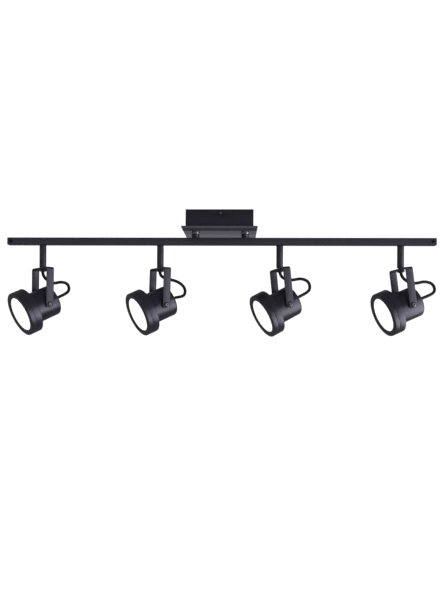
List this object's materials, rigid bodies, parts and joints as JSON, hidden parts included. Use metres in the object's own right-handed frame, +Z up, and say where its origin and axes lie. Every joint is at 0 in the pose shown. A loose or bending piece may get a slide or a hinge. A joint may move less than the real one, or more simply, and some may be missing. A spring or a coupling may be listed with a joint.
{
  "type": "track lighting fixture",
  "caption": "Ceiling bar spotlight: square canopy, straight rectangular bar on short posts, and round aimable lamp heads, each hung in a U yoke under a stem.",
  "frame": {"origin": "centre of the ceiling bracket's top face, in the ceiling plane", "axes": "+Z up into the ceiling; +X along the bar; -Y is the side the beams are aimed towards"},
  "size_m": [0.8436, 0.142, 0.2376],
  "materials": {
    "black_powder_coat": "satin black powder coat",
    "black_head_coat": "satin black powder coat over die-cast aluminium",
    "frosted_lens": "frosted white diffuser",
    "white_board": "white solder-masked aluminium board",
    "black_rubber": "matte black",
    "dark_fastener": "blackened steel",
    "zinc_steel": "zinc plated",
    "driver_case": "light grey moulded case",
    "nylon_block": "natural nylon"
  },
  "bodies": {
    "fixture": {"ceiling_bracket": "zinc_steel", "canopy_box": "black_powder_coat", "canopy_plate": "black_powder_coat", "side_screw_front": "dark_fastener", "side_screw_back": "dark_fastener", "led_driver": "driver_case", "terminal_block": "nylon_block", "post_left": "dark_fastener", "post_right": "dark_fastener", "post_washer_left": "zinc_steel", "post_washer_right": "zinc_steel", "track_bar": "black_powder_coat", "end_cap_left": "black_powder_coat", "end_cap_right": "black_powder_coat", "end_screw_left": "dark_fastener", "end_screw_right": "dark_fastener", "stem_1": "black_powder_coat", "swivel_nut_1": "dark_fastener", "stem_2": "black_powder_coat", "swivel_nut_2": "dark_fastener", "stem_3": "black_powder_coat", "swivel_nut_3": "dark_fastener", "stem_4": "black_powder_coat", "swivel_nut_4": "dark_fastener"},
    "yoke_1": {"yoke_1": "black_powder_coat", "lead_1": "black_rubber"},
    "lamp_1": {"housing_1": "black_head_coat", "bezel_1": "black_head_coat", "lens_1": "frosted_lens", "led_board_1": "white_board", "pivot_screw_left_1": "dark_fastener", "pivot_screw_right_1": "dark_fastener", "cord_gland_1": "black_rubber"},
    "yoke_2": {"yoke_2": "black_powder_coat", "lead_2": "black_rubber"},
    "lamp_2": {"housing_2": "black_head_coat", "bezel_2": "black_head_coat", "lens_2": "frosted_lens", "led_board_2": "white_board", "pivot_screw_left_2": "dark_fastener", "pivot_screw_right_2": "dark_fastener", "cord_gland_2": "black_rubber"},
    "yoke_3": {"yoke_3": "black_powder_coat", "lead_3": "black_rubber"},
    "lamp_3": {"housing_3": "black_head_coat", "bezel_3": "black_head_coat", "lens_3": "frosted_lens", "led_board_3": "white_board", "pivot_screw_left_3": "dark_fastener", "pivot_screw_right_3": "dark_fastener", "cord_gland_3": "black_rubber"},
    "yoke_4": {"yoke_4": "black_powder_coat", "lead_4": "black_rubber"},
    "lamp_4": {"housing_4": "black_head_coat", "bezel_4": "black_head_coat", "lens_4": "frosted_lens", "led_board_4": "white_board", "pivot_screw_left_4": "dark_fastener", "pivot_screw_right_4": "dark_fastener", "cord_gland_4": "black_rubber"}
  },
  "joints": [
    {"name": "pan_1", "type": "hinge", "parent": "fixture", "child": "yoke_1", "pos_m": [-0.3502, 0, -0.1037], "axis": [0.0087, 0, 1], "range_deg": [-170, 170]},
    {"name": "tilt_1", "type": "hinge", "parent": "yoke_1", "child": "lamp_1", "pos_m": [-0.35083, 0, -0.1762], "axis": [0.6494, -0.7604, -0.0057], "range_deg": [-53.1, 64.9], "deforming": ["lead_1"]},
    {"name": "pan_2", "type": "hinge", "parent": "fixture", "child": "yoke_2", "pos_m": [-0.1176, 0, -0.1037], "axis": [0.0279, 0, 0.9996], "range_deg": [-170, 170]},
    {"name": "tilt_2", "type": "hinge", "parent": "yoke_2", "child": "lamp_2", "pos_m": [-0.11962, 0, -0.17617], "axis": [0.5073, -0.8616, -0.0142], "range_deg": [-53.4, 64.6], "deforming": ["lead_2"]},
    {"name": "pan_3", "type": "hinge", "parent": "fixture", "child": "yoke_3", "pos_m": [0.1164, 0, -0.1037], "axis": [-0.1011, 0, 0.9949], "range_deg": [-170, 170]},
    {"name": "tilt_3", "type": "hinge", "parent": "yoke_3", "child": "lamp_3", "pos_m": [0.12373, 0, -0.17583], "axis": [0.3157, -0.9483, 0.0321], "range_deg": [-49.8, 68.2], "deforming": ["lead_3"]},
    {"name": "pan_4", "type": "hinge", "parent": "fixture", "child": "yoke_4", "pos_m": [0.3512, 0, -0.1037], "axis": [-0.1253, 0, 0.9921], "range_deg": [-170, 170]},
    {"name": "tilt_4", "type": "hinge", "parent": "yoke_4", "child": "lamp_4", "pos_m": [0.36029, 0, -0.17563], "axis": [0.2063, -0.9781, 0.0261], "range_deg": [-43.6, 74.4], "deforming": ["lead_4"]}
  ]
}
